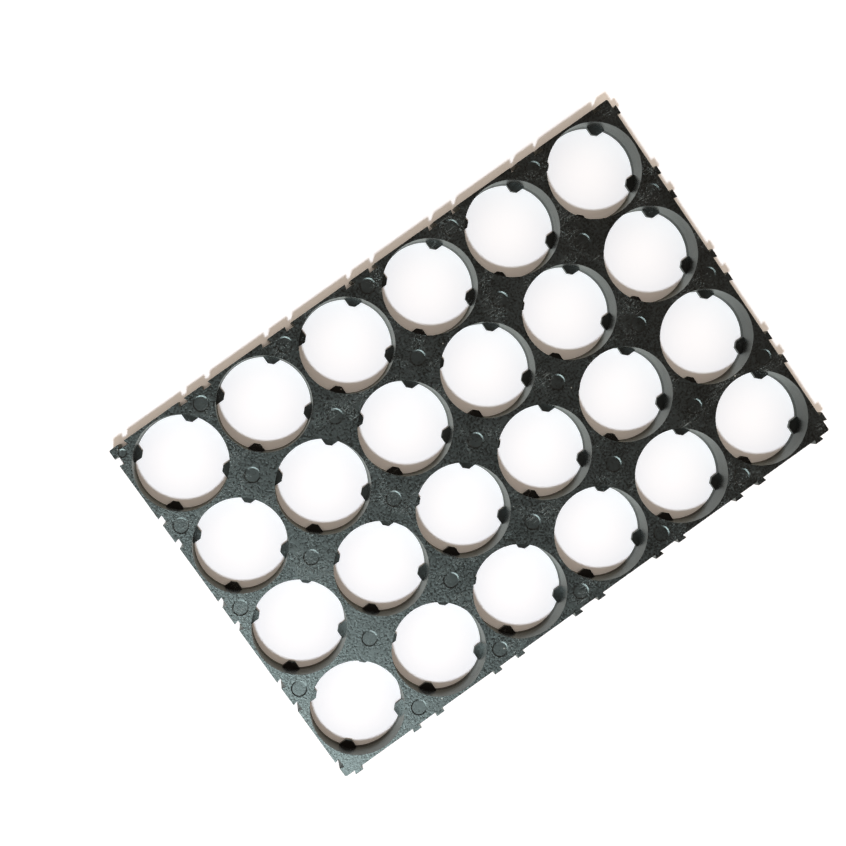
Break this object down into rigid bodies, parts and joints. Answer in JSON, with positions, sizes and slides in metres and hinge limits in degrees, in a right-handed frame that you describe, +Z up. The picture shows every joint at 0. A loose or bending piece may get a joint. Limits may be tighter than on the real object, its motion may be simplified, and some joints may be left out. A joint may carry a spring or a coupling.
{
  "type": "battery cell holder bracket",
  "caption": "Moulded plastic grid of round rings with retaining lips that spaces and holds the ends of cylindrical battery cells, with dovetail edges that join to the next bracket.",
  "frame": {"origin": "centre of the box at the underside, dovetail tabs included", "axes": "+X along the long row of cells, towards a side with dovetail tabs; +Y towards the long side with notches; +Z up, out of the rings' open mouths"},
  "size_m": [0.2056, 0.1376, 0.0145],
  "materials": {
    "cell_bracket": "semi-gloss black moulded plastic"
  },
  "bodies": {
    "root": {"cell_bracket": "cell_bracket"}
  },
  "joints": []
}
